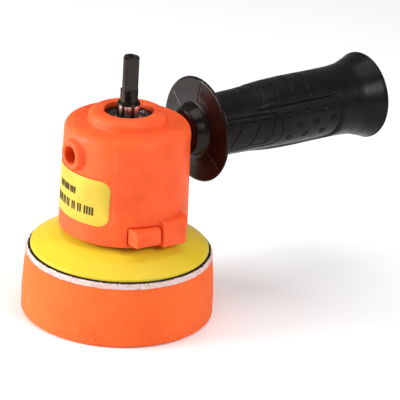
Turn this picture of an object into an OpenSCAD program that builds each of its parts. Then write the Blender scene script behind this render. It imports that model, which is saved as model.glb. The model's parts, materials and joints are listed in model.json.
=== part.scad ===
// Drill-driven orbital polishing head: a three-flat drive shank turns an eccentric hub inside an
// orange cup housing, and the hub carries a free-turning spindle with a backing plate and foam pad.
// +Z runs up the drive axis, +X runs along the side handle, the spindle-lock button faces -Y.
// The origin is on the drive axis at the working face of the foam pad. Lengths are millimetres.

/* [Foam pad] */
// Radius of the foam at its working face
foam_r = 51.9; // [50:0.1:54]
// Radius of the foam at its glued face
foam_top_r = 50; // [49:0.1:51]
// Thickness of the foam
foam_h = 32.7; // [20:0.1:35]
// Thickness of the loop cloth on the foam
loop_t = 2.6; // [2:0.1:2.8]
// Thickness of the hook sheet on the plate
hook_t = 0.8; // [0.6:0.1:1.2]

/* [Backing plate] */
// Outer radius of the backing plate
plate_r = 47.9; // [46:0.1:49]
// Height of the plate from the hook sheet to its hub
plate_h = 11.1; // [10.5:0.1:11.5]
// Offset of the pad axis from the drive axis
orbit_r = 2.5; // [1:0.1:2.5]
// Direction of that offset at rest, in degrees from +X
orbit_angle = 206; // [0:1:360]

/* [Housing] */
// Height of the housing's open edge above the working face
housing_z = 48.5; // [48.5:0.1:49]
// Outer radius at the open edge
housing_r = 34.6; // [34.4:0.1:36]
// Outer radius near the top
housing_top_r = 33.5; // [33:0.1:34]
// Height of the flat top face
housing_top_z = 107.3; // [106.5:0.1:108]
// Height of the collar round the shaft
collar_z = 113.4; // [113:0.1:114]
// Radius of the collar at its foot
collar_r = 21.3; // [20:0.1:23]

/* [Side handle] */
// Height of the handle's axis
handle_z = 94.2; // [93:0.1:95]
// Radius of each handle boss
boss_r = 9.2; // [8.5:0.1:10]
// Distance from the drive axis to a boss's face
boss_x = 36.4; // [36:0.1:38]
// Radius of the hand guard
guard_r = 28.9; // [26:0.1:30]
// Distance from the drive axis to the end of the grip
grip_end = 160.6; // [159:0.1:170]

/* [Drive shaft] */
// Radius of the shank that a drill chuck holds
shank_r = 4.75; // [4.5:0.05:4.95]
// Distance from the axis to each of the three flats
flat_d = 3.55; // [3.4:0.05:4]
// Height of the shank's tip
shank_top = 143.1; // [140:0.1:150]
// Height at which the flats begin
flats_z = 124.8; // [122:0.1:128]

/* [Spindle lock] */
// Travel of the lock button
lock_travel = 4.5; // [3:0.1:4.5]

/* [Hidden] */
$fn = 96;

// Single-row ball bearing, 10 x 26 x 8, used three times
brg_bore_r = 5;
brg_r = 13;
brg_w = 8;
ball_r = 2.38;
ball_gap = 0.15;
pitch_r = 9;
balls = 7;
groove_r = ball_r + ball_gap;
land_in = 7.1;
land_out = 10.9;
seal_t = 0.6;
cage_half = 0.8;
cage_below = 3.4;
cage_above = 1.1;
cage_play = 0.12;

// Stack above the working face
hook_z = foam_h + loop_t;
plate_z = hook_z + hook_t;
flange_z = plate_z + plate_h;

// Drive shaft stack
hub_z = 50;
hub_top_z = 66;
neck_top_z = 74.4;
lower_brg_z = neck_top_z;
upper_brg_z = 101.4;
sleeve_z = upper_brg_z + brg_w;
sleeve_top_z = 118.3;
sleeve_r = 6.2;
shaft_foot_z = 62.2;
flats_r = shank_r - 0.2;
flats_turn = 16.5;
key_w = 3;
key_h = 7;

// Retaining rings: thickness on a shaft and in a bore, and their radii
clip_t = 1;
ring_t = 1.2;
ring_in_r = 11.4;
ring_groove_r = 13.7;
clip_groove_r = brg_bore_r - 0.7;
clip_out_r = 7;
eye_r = 1.7;
eye_hole_r = 0.8;

// Housing
wall = 3.2;
inner_r = housing_r - 3.6;
tube_r = 16.5;
tube_z = 72;
ledge_r = 11;
top_fillet = 4.8;
insert_r = 7;
insert_x = 17.6;
insert_len = 10;
thread_r = 5;
stud_r = 4.95;
boss_hole_r = 5.4;
boss_hole_len = 10;

// Label on the wall, and the play under it
label_z0 = 59.2;
label_z1 = 84.6;
label_w = 22.8;
label_c = 5;
label_t = 0.3;
label_play = 0.02;

// Side handle
grip_bore_r = 12;
tube_start = 47.2;
tube_end = grip_end - 9;
stud_end = 78;

// Eccentric hub
hub_r = 21;
pad_brg_z = 52;
neck_r = 9;
weight_r = 28;
weight_top = 71;
weight_skirt = 63;
weight_angle = orbit_angle - 180;
weight_arc = 164;
screw_seat_z = weight_top - 3;
screw_r = 2;
screw_head_r = 3.5;
screw_ring_r = 16;
screw_spread = 45;

// Pad spindle and plate
hex_r = 6;
hex_h = 3.4;
screw_bore_r = 3;
insert_plate_r = 13;
insert_plate_t = 5;
recess_r = 8.6;
washer_z = flange_z - insert_plate_t - 1.2;

// Spindle lock, beside the centre of the -Y side
lock_x0 = -17.3;
lock_x1 = -1.9;
lock_z0 = 50.9;
lock_z1 = 59.7;
lock_front = -37.8;
lock_back = -26.2;
lock_gap = 0.3;
lock_round = 3;
pin_x = -8.2;
pin_r = 3;
pin_tip = -21.2;
notch_floor = pin_tip + lock_travel + 0.8;
notch_w = 2 * pin_r + 1;
spring_x = -14.6;
spring_r = 2;
spring_wire = 0.35;
spring_seat_y = -19.5;
spring_turns = 5;
spring_steps = 20;
spring_sides = 8;
pocket_y = lock_back - 3.2;
rail_t = 2;
lip = 1.6;
lock_mid_z = (lock_z0 + lock_z1) / 2;
lug_x0 = -0.6;
lug_x1 = 16.4;
lug_front = -38;
lug_z1 = 62.8;
lug_round = 4.5;
lug_chamfer = 1.6;

// Points of an arc about c, from angle a0 to a1
function arc(c, r, a0, a1, n = 8) =
    [for (i = [0:n]) c + r * [cos(a0 + (a1 - a0) * i / n), sin(a0 + (a1 - a0) * i / n)]];

// Outer radius of the tapered wall at height z
function wall_r(z) = housing_r + (housing_top_r - housing_r) * (z - housing_z)
    / (housing_top_z - top_fillet - housing_z);

// Direction of the orbit offset
orbit = orbit_r * [cos(orbit_angle), sin(orbit_angle), 0];

// A ring between two radii and two heights
module ring(r_in, r_out, z0, z1) {
    rotate_extrude()
        polygon([[r_in, z0], [r_out, z0], [r_out, z1], [r_in, z1]]);
}

// A solid cylinder between two heights
module rod(r, z0, z1) {
    translate([0, 0, z0]) cylinder(r = r, h = z1 - z0);
}

// Children turned to lie along +X at the handle's height
module along_handle() {
    translate([0, 0, handle_z]) rotate([0, 90, 0]) children();
}

// The raceway that a ring of balls runs in
module raceway(z) {
    translate([0, 0, z + brg_w / 2])
        rotate_extrude() translate([pitch_r, 0]) circle(r = groove_r, $fn = 48);
}

module outer_race(z) {
    difference() {
        ring(land_out, brg_r, z, z + brg_w);
        raceway(z);
    }
}

module inner_race(z) {
    difference() {
        ring(brg_bore_r, land_in, z, z + brg_w);
        raceway(z);
    }
}

module ball_set(z) {
    for (i = [0:balls - 1])
        rotate([0, 0, 360 * i / balls]) translate([pitch_r, 0, z + brg_w / 2])
            sphere(r = ball_r, $fn = 48);
}

// Crown cage: a ring that is open on its upper side at each ball
module crown_cage(z) {
    mid = z + brg_w / 2;
    difference() {
        ring(pitch_r - cage_half, pitch_r + cage_half, mid - cage_below, mid + cage_above);
        for (i = [0:balls - 1])
            rotate([0, 0, 360 * i / balls]) translate([pitch_r, 0, mid])
                sphere(r = ball_r + cage_play, $fn = 48);
    }
}

// Retaining ring with a gap of the given angle, its gap centred on +X
module retaining_ring(r_in, r_out, z, t, gap) {
    translate([0, 0, z]) rotate([0, 0, gap / 2]) rotate_extrude(angle = 360 - gap)
        translate([r_in, 0]) square([r_out - r_in, t]);
}

// ---------------------------------------------------------------- housing

// Outline of the cup and collar, from the axis outwards, as (radius, height)
housing_outline = concat(
    [[0, housing_z], [housing_r - 0.6, housing_z], [housing_r, housing_z + 0.6]],
    arc([housing_top_r - top_fillet, housing_top_z - top_fillet], top_fillet, 2, 90),
    arc([collar_r + 0.7, housing_top_z + 0.7], 0.7, -90, -172, 4),
    arc([collar_r - 4.3, collar_z - 4], 4, 8, 90),
    [[0, collar_z]]
);

// One handle boss, from the bearing tube out to its face
module handle_boss() {
    along_handle() rotate_extrude() polygon(concat(
        [[0, tube_r - 3], [boss_r, tube_r - 3], [boss_r, boss_x - 1]],
        [[boss_r - 1, boss_x], [0, boss_x]]));
}

module handle_boss_bores() {
    along_handle() {
        rod(boss_hole_r, boss_x - boss_hole_len, boss_x + 1);
        rod(insert_r, insert_x, insert_x + insert_len);
    }
}

// Flat-faced lug that stiffens the wall beside the lock button, its top front edge chamfered
module lock_lug() {
    intersection() {
        translate([0, 0, housing_z]) linear_extrude(lug_z1 - housing_z) polygon(concat(
            [[lug_x0, -20], [lug_x0, lug_front]],
            arc([lug_x1 - lug_round, lug_front + lug_round], lug_round, -90, 0),
            [[lug_x1, -20]]));
        translate([lug_x1 + 1, 0, 0]) rotate([90, 0, -90]) linear_extrude(lug_x1 - lug_x0 + 2)
            polygon([[19, housing_z], [-lug_front, housing_z], [-lug_front, lug_z1 - lug_chamfer],
                     [-lug_front - lug_chamfer, lug_z1], [19, lug_z1]]);
    }
}

// Rails inside the wall that guide the button, and the seat of its spring
module lock_rails() {
    left_x = lock_x0 - lock_gap - rail_t;
    right_x = lock_x1 + lock_gap;
    rail_z = housing_z + 1;
    for (r = [[left_x, -18], [right_x, -24]])
        translate([r[0], -inner_r - 1, rail_z])
            cube([rail_t, inner_r + 1 + r[1], lock_z1 + lip + 0.5 - rail_z]);
    translate([left_x, spring_seat_y, lock_mid_z - 3.3]) cube([7.6, 1.6, 6.6]);
}

module lock_window() {
    translate([lock_x0 - lock_gap, lock_front - 2, lock_z0 - lock_gap])
        cube([lock_x1 - lock_x0 + 2 * lock_gap, 16, lock_z1 - lock_z0 + 2 * lock_gap]);
}

module housing_shell() color("orangered") {
    difference() {
        union() {
            difference() {
                union() {
                    rotate_extrude() polygon(housing_outline);
                    lock_lug();
                    for (m = [0, 1]) mirror([m, 0, 0]) handle_boss();
                }
                rod(inner_r, housing_z - 1, housing_top_z - wall);
            }
            rod(tube_r, tube_z, housing_top_z);
            for (m = [0, 1]) mirror([m, 0, 0]) intersection() {
                handle_boss();
                rod(inner_r + 1, tube_z, housing_top_z);
            }
            intersection() {
                lock_rails();
                rod(inner_r + 1, housing_z, housing_top_z);
            }
        }
        rod(ledge_r, tube_z - 1, collar_z + 1);
        rod(brg_r, tube_z - 1, lower_brg_z + brg_w);
        rod(brg_r, upper_brg_z, collar_z + 1);
        rod(ring_groove_r, lower_brg_z - ring_t, lower_brg_z);
        rod(ring_groove_r, sleeve_z, sleeve_z + ring_t);
        for (m = [0, 1]) mirror([m, 0, 0]) handle_boss_bores();
        lock_window();
    }
}

// Threaded steel bush moulded into a handle boss
module handle_insert() {
    along_handle() rotate_extrude() polygon([
        [thread_r, insert_x], [insert_r, insert_x], [insert_r, insert_x + 3.6],
        [insert_r - 0.8, insert_x + 4], [insert_r - 0.8, insert_x + 6],
        [insert_r, insert_x + 6.4], [insert_r, insert_x + insert_len],
        [thread_r, insert_x + insert_len]
    ]);
}

module left_handle_insert() color("silver") mirror([1, 0, 0]) handle_insert();
module right_handle_insert() color("silver") handle_insert();

module upper_bearing_outer_ring() color("silver") outer_race(upper_brg_z);
module lower_bearing_outer_ring() color("silver") outer_race(lower_brg_z);

module upper_bearing_seal() color("dimgray")
    ring(land_in + 0.25, land_out, sleeve_z - seal_t - 0.1, sleeve_z - 0.1);

// Its gap faces the lock side, with an eye for the pliers at each end
module upper_bearing_circlip() color("darkslategray") {
    rotate([0, 0, -90]) retaining_ring(ring_in_r, ring_groove_r, sleeve_z, ring_t, 34);
    for (a = [-22, 22])
        rotate([0, 0, a - 90]) translate([ring_in_r - 0.2, 0, sleeve_z]) difference() {
            cylinder(r = eye_r, h = ring_t);
            translate([-0.2, 0, -1]) cylinder(r = eye_hole_r, h = ring_t + 2);
        }
}

module lower_bearing_circlip() color("darkslategray")
    retaining_ring(ring_in_r, ring_groove_r, lower_brg_z - ring_t, ring_t, 30);

// Sticker wrapped round the wall under the left handle boss
module rating_label() color("gold") intersection() {
    rotate_extrude() polygon([
        for (p = [[label_play, -1], [label_t, -1], [label_t, 1], [label_play, 1]])
            let (z = p[1] < 0 ? label_z0 - 1 : label_z1 + 1) [wall_r(z) + p[0], z]
    ]);
    translate([-20, 0, 0]) rotate([0, -90, 0]) linear_extrude(20) polygon(concat(
        arc([label_z0 + label_c, label_c - label_w], label_c, 180, 270),
        arc([label_z1 - label_c, label_c - label_w], label_c, 270, 360),
        arc([label_z1 - label_c, label_w - label_c], label_c, 0, 90),
        arc([label_z0 + label_c, label_w - label_c], label_c, 90, 180)));
}

// ---------------------------------------------------------------- side handle

// Neck and dished hand guard
module hand_guard() color([0.16, 0.12, 0.10]) along_handle() rotate_extrude() polygon(concat(
    [[stud_r, boss_x + 0.1], [11.4, boss_x + 0.1], [12.6, boss_x + 1], [14.2, 42]],
    [[15.2, 43.4], [20, 44.2], [guard_r - 1, 44.8]],
    arc([guard_r - 1, 45.8], 1, -90, 90, 6),
    [[20, 46.6], [grip_bore_r, tube_start], [stud_r, tube_start]]));

// Tube behind the guard that carries the rubber sleeve
module handle_tube() color([0.16, 0.12, 0.10]) along_handle() difference() {
    rod(grip_bore_r, tube_start, tube_end);
    rod(stud_r, tube_start - 1, stud_end);
}

module handle_stud() color("silver") along_handle() rotate_extrude() polygon([
    [0, insert_x + 0.6], [stud_r - 1, insert_x + 0.6], [stud_r, insert_x + 1.6],
    [stud_r, stud_end], [0, stud_end]
]);

// Rubber sleeve that swells along the palm and flares at its end, as (radius, distance)
module handle_grip() color([0.09, 0.09, 0.09]) along_handle() rotate_extrude() polygon(concat(
    [[grip_bore_r, 47.5], [16, 47.5], [16.9, 48.4], [17.2, 60.6], [17.7, 76.4], [18.5, 84]],
    [[19.1, 92], [19.5, 106], [19.4, 124], [19.5, 138], [19.8, 143], [20.4, 148], [21.5, 152]],
    [[22.6, 155.5], [23.6, grip_end - 2.2]],
    arc([23.6, grip_end - 0.7], 0.7, 0, 90, 5),
    [[0, grip_end], [0, tube_end], [grip_bore_r, tube_end]]));

// ---------------------------------------------------------------- rotor

// Stepped shaft: bearing seats, a round stretch above the sleeve, then three flats for the chuck
module drive_shaft() color([0.15, 0.13, 0.12]) difference() {
    rotate_extrude() polygon([
        [0, shaft_foot_z], [brg_bore_r, shaft_foot_z], [brg_bore_r, sleeve_top_z],
        [shank_r, sleeve_top_z], [shank_r, flats_z], [flats_r, flats_z],
        [flats_r, shank_top - 0.6], [flats_r - 0.6, shank_top], [0, shank_top]
    ]);
    ring(clip_groove_r, brg_bore_r + 1, shaft_foot_z + 0.5, shaft_foot_z + 0.5 + clip_t);
    for (a = [0:120:240])
        rotate([0, 0, flats_turn + a]) translate([flat_d, -10, flats_z]) cube([10, 20, 30]);
    translate([0, 0, shank_top - 2.2]) cylinder(r1 = 0.1, r2 = 1.8, h = 2.3);
    keyway(10);
}

// The slot, or the key of this length, that joins the shaft to the hub's neck
module keyway(length) {
    translate([brg_bore_r - key_w / 2, -key_w / 2, hub_top_z]) cube([length, key_w, key_h]);
}

module shaft_sleeve() color("silver") rotate_extrude() polygon([
    [brg_bore_r, sleeve_z], [sleeve_r, sleeve_z], [sleeve_r, sleeve_top_z - 0.9],
    [sleeve_r - 0.7, sleeve_top_z], [brg_bore_r, sleeve_top_z]
]);

module upper_bearing_inner_ring() color("silver") inner_race(upper_brg_z);
module lower_bearing_inner_ring() color("silver") inner_race(lower_brg_z);
module bearing_spacer() color("gray") ring(brg_bore_r, 6.8, lower_brg_z + brg_w, upper_brg_z);

module drive_key() color("gray") keyway(key_w);

module shaft_circlip() color("darkslategray")
    retaining_ring(clip_groove_r, clip_out_r, shaft_foot_z + 0.5, clip_t, 60);

// Eccentric carrier: round with four lock notches, an offset bearing pocket below, a neck above
module eccentric_hub() color("slategray") difference() {
    union() {
        rod(hub_r, hub_z, hub_top_z);
        rod(neck_r, hub_z, neck_top_z);
    }
    translate(orbit) {
        rod(brg_r, hub_z - 1, pad_brg_z + brg_w);
        rod(ring_groove_r, pad_brg_z - clip_t, pad_brg_z);
        rod(10.5, pad_brg_z, pad_brg_z + brg_w + 4);
    }
    rod(brg_bore_r, hub_z, neck_top_z + 1);
    translate([0, -key_w / 2, hub_top_z]) cube([brg_bore_r + key_w / 2, key_w, 10]);
    for (a = [0:90:270])
        rotate([0, 0, a]) translate([pin_x - notch_w / 2, -hub_r - 2, lock_mid_z - notch_w / 2])
            cube([notch_w, hub_r + 2 + notch_floor, notch_w]);
    at_weight_screws() rod(screw_r, hub_top_z - 6, hub_top_z + 1);
}

// Children at each of the two counterweight screws
module at_weight_screws() {
    for (s = [-1, 1])
        rotate([0, 0, weight_angle + screw_spread * s]) translate([screw_ring_r, 0, 0]) children();
}

// Half-ring weight on the hub, with a skirt that hangs beside the hub's rim
module counterweight() color("dimgray") difference() {
    rotate([0, 0, weight_angle - weight_arc / 2]) rotate_extrude(angle = weight_arc) polygon([
        [neck_r + 1, hub_top_z], [hub_r + 0.2, hub_top_z], [hub_r + 0.2, weight_skirt],
        [weight_r, weight_skirt], [weight_r, weight_top - 0.8], [weight_r - 0.8, weight_top],
        [neck_r + 1, weight_top]
    ]);
    at_weight_screws() {
        rod(screw_r + 0.2, hub_top_z - 1, weight_top + 1);
        rod(screw_head_r + 0.2, screw_seat_z, weight_top + 1);
    }
}

module counterweight_screws() color("black") at_weight_screws() difference() {
    union() {
        rod(screw_r, hub_top_z - 5.5, screw_seat_z);
        rod(screw_head_r, screw_seat_z, weight_top - 0.2);
    }
    translate([0, 0, weight_top - 1.8]) cylinder(r = 1.7, h = 3, $fn = 6);
}

module pad_bearing_outer_ring() color("silver") translate(orbit) outer_race(pad_brg_z);

module pad_bearing_seal() color("dimgray") translate(orbit)
    ring(land_in + 0.25, land_out, pad_brg_z + 0.1, pad_brg_z + 0.1 + seal_t);

module pad_bearing_circlip() color("darkslategray") translate(orbit)
    retaining_ring(ring_in_r, ring_groove_r, pad_brg_z - clip_t, clip_t, 30);

// ---------------------------------------------------------------- balls and cages

module upper_ball_cage() color("tan") crown_cage(upper_brg_z);
module upper_balls() color("silver") ball_set(upper_brg_z);
module lower_ball_cage() color("tan") crown_cage(lower_brg_z);
module lower_balls() color("silver") ball_set(lower_brg_z);
module pad_balls() color("silver") translate(orbit) ball_set(pad_brg_z);

// The pad bearing's seal is below the balls, so its cage is turned over
module pad_ball_cage() color("tan") translate(orbit)
    translate([0, 0, 2 * pad_brg_z + brg_w]) mirror([0, 0, 1]) crown_cage(pad_brg_z);

// ---------------------------------------------------------------- pad spindle and plate

module pad_spindle() color("silver") translate(orbit) difference() {
    union() {
        rod(brg_bore_r, pad_brg_z - 0.5, pad_brg_z + brg_w + 1.7);
        rod(land_in - 0.4, flange_z + 1.5, pad_brg_z);
        rod(9, flange_z, flange_z + 2);
        translate([0, 0, flange_z - hex_h]) cylinder(r = hex_r, h = hex_h + 1, $fn = 6);
    }
    ring(clip_groove_r, brg_bore_r + 1, pad_brg_z + brg_w, pad_brg_z + brg_w + clip_t);
    rod(screw_bore_r, flange_z - hex_h - 1, flange_z + 9);
}

module pad_bearing_inner_ring() color("silver") translate(orbit) inner_race(pad_brg_z);

module spindle_circlip() color("darkslategray") translate(orbit)
    retaining_ring(clip_groove_r, clip_out_r, pad_brg_z + brg_w, clip_t, 60);

// Steel disc moulded into the plate, with the hexagon that the spindle drives
module plate_insert() color("silver") translate(orbit) difference() {
    rod(insert_plate_r, flange_z - insert_plate_t, flange_z);
    translate([0, 0, flange_z - hex_h]) cylinder(r = hex_r + 0.05, h = hex_h + 1, $fn = 6);
    rod(screw_bore_r + 0.2, flange_z - insert_plate_t - 1, flange_z);
}

module backing_plate() color("gold") translate(orbit) difference() {
    rotate_extrude() polygon(concat(
        [[0, plate_z], [plate_r - 0.6, plate_z]],
        arc([plate_r - 0.6, plate_z + 0.6], 0.6, -90, 40, 5),
        [[44, plate_z + 3.6], [38, plate_z + 6.6], [33, plate_z + 8.6], [28, plate_z + 10]],
        [[22, plate_z + 10.9], [15, flange_z], [0, flange_z]]));
    rod(insert_plate_r, flange_z - insert_plate_t, flange_z + 1);
    rod(recess_r, plate_z - 1, flange_z);
}

module plate_screw() color("darkslategray") translate(orbit) difference() {
    union() {
        rod(4.8, flange_z - 9.6, washer_z);
        rod(screw_bore_r, washer_z - 0.1, flange_z + 6);
    }
    translate([0, 0, flange_z - 10]) cylinder(r = 2.9, h = 2.6, $fn = 6);
}

module plate_washer() color("silver") translate(orbit)
    ring(screw_bore_r + 0.2, 7.6, washer_z, flange_z - insert_plate_t);

module hook_sheet() color([0.10, 0.08, 0.07]) translate(orbit)
    ring(recess_r, plate_r + 0.4, hook_z, plate_z);

module loop_cloth() color("mistyrose") translate(orbit) rotate_extrude() polygon([
    [0, foam_h], [foam_top_r, foam_h], [foam_top_r - 0.8, hook_z], [0, hook_z]
]);

module foam_pad() color("darkorange") translate(orbit) rotate_extrude() polygon(concat(
    [[0, 0]],
    arc([foam_r - 1.6, 1.6], 1.6, -90, 0, 5),
    [[foam_r - 0.1, foam_h / 3], [foam_r - 0.7, 2 * foam_h / 3], [foam_top_r, foam_h]],
    [[0, foam_h]]));

// ---------------------------------------------------------------- spindle lock

// Block outline seen from the end, as (y, z), with a rounded top front edge
block_outline = concat(
    [[lock_back, lock_z0], [lock_front + 0.6, lock_z0], [lock_front, lock_z0 + 0.6]],
    arc([lock_front + lock_round, lock_z1 - lock_round], lock_round, 180, 90),
    [[lock_back, lock_z1]]
);

module lock_button() color("orangered") difference() {
    union() {
        translate([lock_x1, 0, 0]) rotate([90, 0, -90]) linear_extrude(lock_x1 - lock_x0)
            polygon([for (p = block_outline) [-p[0], p[1]]]);
        intersection() {
            translate([lock_x0, -inner_r - 1, lock_z0 - lip])
                cube([lock_x1 - lock_x0, inner_r + 1 + lock_back, lock_z1 - lock_z0 + 2 * lip]);
            rod(inner_r - lock_gap, lock_z0 - 2, lock_z1 + 2);
        }
    }
    translate([pin_x, lock_back + 1, lock_mid_z]) rotate([90, 0, 0]) cylinder(r = pin_r, h = 7);
    translate([spring_x, lock_back + 1, lock_mid_z]) rotate([90, 0, 0])
        cylinder(r = spring_r + 0.5, h = lock_back + 1 - pocket_y);
}

module lock_pin() color("silver") translate([pin_x, pin_tip, lock_mid_z]) rotate([90, 0, 0])
    rotate_extrude() polygon([
        [0, 0], [pin_r - 0.7, 0], [pin_r, 0.7],
        [pin_r, pin_tip - lock_back + 6], [0, pin_tip - lock_back + 6]
    ]);

// Coil spring between the button's pocket and its seat, as one swept tube
spring_len = spring_seat_y - pocket_y - 2 * spring_wire;
function spring_point(i) = let (t = i / (spring_turns * spring_steps), a = 360 * spring_turns * t)
    [spring_r * cos(a), spring_r * sin(a), spring_len * t];
function spring_ring(i) = let (p = spring_point(i), a = 360 * i / spring_steps)
    [for (k = [0:spring_sides - 1]) let (b = 360 * k / spring_sides)
        p + spring_wire * (cos(b) * [cos(a), sin(a), 0] + sin(b) * [0, 0, 1])];

module lock_spring() color("silver") {
    n = spring_turns * spring_steps;
    m = spring_sides;
    pts = [for (i = [0:n]) each spring_ring(i)];
    faces = concat(
        [[for (k = [0:m - 1]) k]],
        [for (i = [0:n - 1]) for (k = [0:m - 1])
            [i * m + k, (i + 1) * m + k, (i + 1) * m + (k + 1) % m, i * m + (k + 1) % m]],
        [[for (k = [m - 1:-1:0]) n * m + k]]);
    translate([spring_x, pocket_y + spring_wire, lock_mid_z]) rotate([-90, 0, 0])
        polyhedron(points = pts, faces = faces);
}

housing_shell();
left_handle_insert();
right_handle_insert();
upper_bearing_outer_ring();
upper_bearing_seal();
upper_bearing_circlip();
lower_bearing_outer_ring();
lower_bearing_circlip();
rating_label();
hand_guard();
handle_tube();
handle_grip();
handle_stud();
drive_shaft();
shaft_sleeve();
upper_bearing_inner_ring();
bearing_spacer();
lower_bearing_inner_ring();
drive_key();
shaft_circlip();
eccentric_hub();
counterweight();
counterweight_screws();
pad_bearing_outer_ring();
pad_bearing_seal();
pad_bearing_circlip();
upper_ball_cage();
upper_balls();
lower_ball_cage();
lower_balls();
pad_ball_cage();
pad_balls();
pad_spindle();
pad_bearing_inner_ring();
spindle_circlip();
plate_insert();
backing_plate();
plate_screw();
plate_washer();
hook_sheet();
loop_cloth();
foam_pad();
lock_button();
lock_pin();
lock_spring();
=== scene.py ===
"""Looks of the drill-driven polishing head: finishes, soft parts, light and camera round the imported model."""

import json
import math
import random

import bmesh
import bpy
import numpy as np
from mathutils import Matrix, Vector, noise


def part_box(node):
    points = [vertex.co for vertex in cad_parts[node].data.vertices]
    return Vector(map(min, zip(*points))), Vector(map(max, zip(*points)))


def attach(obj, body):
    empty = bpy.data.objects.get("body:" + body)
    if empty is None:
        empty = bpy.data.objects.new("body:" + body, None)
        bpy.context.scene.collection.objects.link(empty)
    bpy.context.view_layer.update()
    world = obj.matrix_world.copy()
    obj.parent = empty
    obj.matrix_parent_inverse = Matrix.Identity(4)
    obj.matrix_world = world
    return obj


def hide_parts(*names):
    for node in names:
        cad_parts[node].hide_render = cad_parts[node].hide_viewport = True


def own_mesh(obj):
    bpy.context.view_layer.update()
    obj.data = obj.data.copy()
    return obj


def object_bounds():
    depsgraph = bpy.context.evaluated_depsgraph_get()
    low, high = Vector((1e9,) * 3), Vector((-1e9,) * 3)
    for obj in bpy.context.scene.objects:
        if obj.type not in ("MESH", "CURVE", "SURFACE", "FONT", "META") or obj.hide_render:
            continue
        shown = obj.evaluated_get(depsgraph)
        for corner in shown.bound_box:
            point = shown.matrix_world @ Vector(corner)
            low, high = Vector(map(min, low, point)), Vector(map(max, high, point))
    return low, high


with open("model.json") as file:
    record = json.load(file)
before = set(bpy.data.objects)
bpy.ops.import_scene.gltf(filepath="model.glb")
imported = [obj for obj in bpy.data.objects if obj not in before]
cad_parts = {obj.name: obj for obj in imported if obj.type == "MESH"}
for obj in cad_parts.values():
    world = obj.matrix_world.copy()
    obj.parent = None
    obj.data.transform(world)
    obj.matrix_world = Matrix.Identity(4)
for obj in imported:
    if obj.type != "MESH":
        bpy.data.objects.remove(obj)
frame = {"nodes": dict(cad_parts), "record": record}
cad_low, cad_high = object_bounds()
NODES = frame["nodes"]
MM = 0.001
TAU = 2 * math.pi


# ------------------------------------------------------------------ places, from the frame

def middle(node):
    low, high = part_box(node)
    return (low + high) / 2


def radius_of(node, axis=0):
    low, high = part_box(node)
    return (high[axis] - low[axis]) / 2


FOAM_LOW, FOAM_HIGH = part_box("foam_pad")
PAD_X, PAD_Y = middle("foam_pad").xy
FOAM_R = radius_of("foam_pad")
FOAM_TOP = FOAM_HIGH.z
LOOP_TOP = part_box("loop_cloth")[1].z
LOOP_R = radius_of("loop_cloth")
HOOK_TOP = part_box("hook_sheet")[1].z
HOOK_R = radius_of("hook_sheet")
PLATE_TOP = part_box("backing_plate")[1].z
PLATE_R = radius_of("backing_plate")
PLATE_HOLE = 8.6 * MM
HANDLE_Z = middle("handle_grip").z
GRIP_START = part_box("handle_grip")[0].x
GRIP_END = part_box("handle_grip")[1].x
GUARD_R = radius_of("hand_guard", 2)
NECK_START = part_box("hand_guard")[0].x
TUBE_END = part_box("handle_tube")[1].x
COLLAR_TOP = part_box("housing_shell")[1].z


# ------------------------------------------------------------------ camera

CAMERA_AZIMUTH = math.radians(37.51)
CAMERA_ELEVATION = math.radians(22.5)
CAMERA_ROLL = math.radians(3.49)
CAMERA_DISTANCE = 1.438
CAMERA_AIM = Vector((0.0509, -0.0001, 0.0516))
CAMERA_LENS = 237.2


def add_camera():
    sin_a, cos_a = math.sin(CAMERA_AZIMUTH), math.cos(CAMERA_AZIMUTH)
    sin_e, cos_e = math.sin(CAMERA_ELEVATION), math.cos(CAMERA_ELEVATION)
    forward = Vector((sin_a * cos_e, cos_a * cos_e, -sin_e))
    level_right = Vector((cos_a, -sin_a, 0))
    level_up = level_right.cross(forward)
    right = level_right * math.cos(CAMERA_ROLL) + level_up * math.sin(CAMERA_ROLL)
    up = level_up * math.cos(CAMERA_ROLL) - level_right * math.sin(CAMERA_ROLL)
    camera = bpy.data.objects.new("camera", bpy.data.cameras.new("camera"))
    bpy.context.scene.collection.objects.link(camera)
    turn = Matrix((right, up, -forward)).transposed().to_4x4()
    camera.matrix_world = Matrix.Translation(CAMERA_AIM - forward * CAMERA_DISTANCE) @ turn
    camera.data.lens = CAMERA_LENS
    camera.data.sensor_width = 36
    camera.data.clip_start = 0.1
    camera.data.clip_end = 20
    bpy.context.scene.camera = camera


add_camera()


# ------------------------------------------------------------------ materials

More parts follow.
